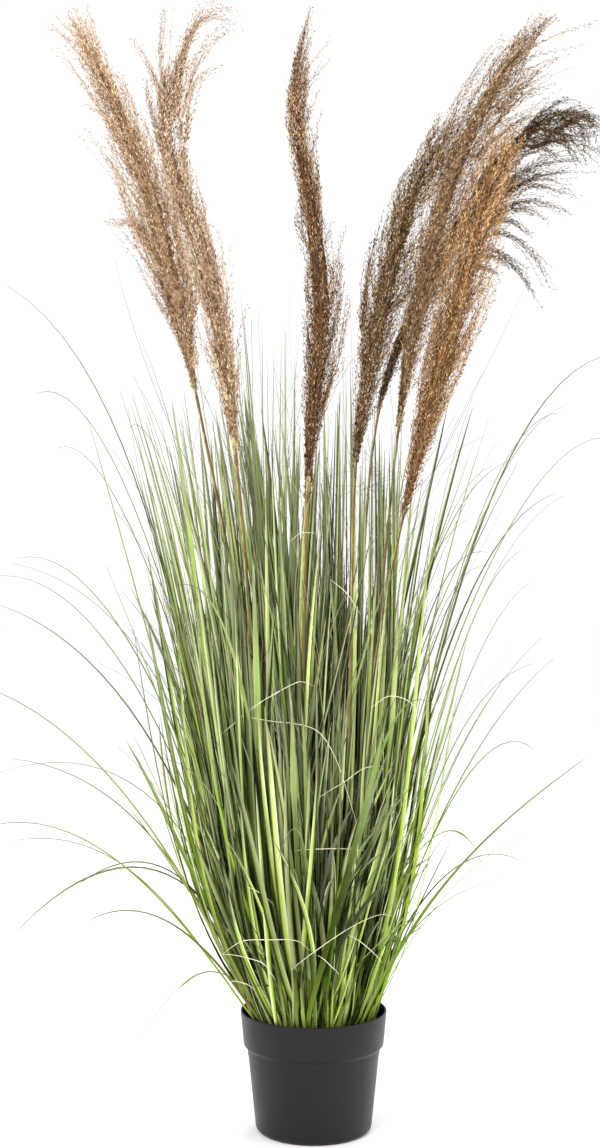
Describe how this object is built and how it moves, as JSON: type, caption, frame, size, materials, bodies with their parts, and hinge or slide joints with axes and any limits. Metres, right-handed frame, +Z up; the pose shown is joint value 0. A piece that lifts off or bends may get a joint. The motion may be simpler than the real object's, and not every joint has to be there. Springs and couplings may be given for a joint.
{
  "type": "potted ornamental grass clump",
  "caption": "Tall clump of narrow arching green blades with feathery brown plumes on thin stalks, standing in a round tapered pot with a deep collar.",
  "frame": {"origin": "middle of the pot's flat underside", "axes": "+Z up along the pot's axis, +X to the clump's right and -Y to its front"},
  "size_m": [0.8156, 0.6228, 1.4713],
  "materials": {
    "pot": "satin",
    "fill": "matte",
    "blades": "satin",
    "long_leaves": "satin",
    "stalks": "satin",
    "plumes": "matte"
  },
  "bodies": {
    "root": {"pot": "pot", "potting_fill": "fill", "blade_bunch_outer_1": "blades", "blade_bunch_outer_2": "blades", "blade_bunch_outer_3": "blades", "blade_bunch_outer_4": "blades", "blade_bunch_outer_5": "blades", "blade_bunch_outer_6": "blades", "blade_bunch_outer_7": "blades", "blade_bunch_outer_8": "blades", "blade_bunch_outer_9": "blades", "blade_bunch_outer_10": "blades", "blade_bunch_middle_1": "blades", "blade_bunch_middle_2": "blades", "blade_bunch_middle_3": "blades", "blade_bunch_middle_4": "blades", "blade_bunch_middle_5": "blades", "blade_bunch_inner_1": "blades", "blade_bunch_inner_2": "blades", "blade_bunch_inner_3": "blades", "leaf_left_1": "long_leaves", "leaf_left_2": "long_leaves", "leaf_left_3": "long_leaves", "leaf_left_4": "long_leaves", "leaf_left_5": "long_leaves", "leaf_left_6": "long_leaves", "leaf_left_7": "long_leaves", "leaf_left_8": "long_leaves", "leaf_left_9": "long_leaves", "leaf_right_1": "long_leaves", "leaf_right_2": "long_leaves", "leaf_right_3": "long_leaves", "leaf_right_4": "long_leaves", "leaf_right_5": "long_leaves", "leaf_right_6": "long_leaves", "leaf_right_7": "long_leaves", "leaf_right_8": "long_leaves", "leaf_right_9": "long_leaves", "leaf_front_1": "long_leaves", "leaf_front_2": "long_leaves", "leaf_front_3": "long_leaves", "leaf_back_1": "long_leaves", "leaf_back_2": "long_leaves", "leaf_back_3": "long_leaves", "leaf_back_4": "long_leaves", "stalk_far_left": "stalks", "stalk_left": "stalks", "stalk_middle": "stalks", "stalk_right_inner": "stalks", "stalk_right_tall": "stalks", "stalk_right_front": "stalks", "stalk_right_back": "stalks", "plume_far_left": "plumes", "plume_left": "plumes", "plume_middle": "plumes", "plume_right_inner": "plumes", "plume_right_tall": "plumes", "plume_right_front": "plumes", "plume_right_back": "plumes"}
  },
  "joints": []
}
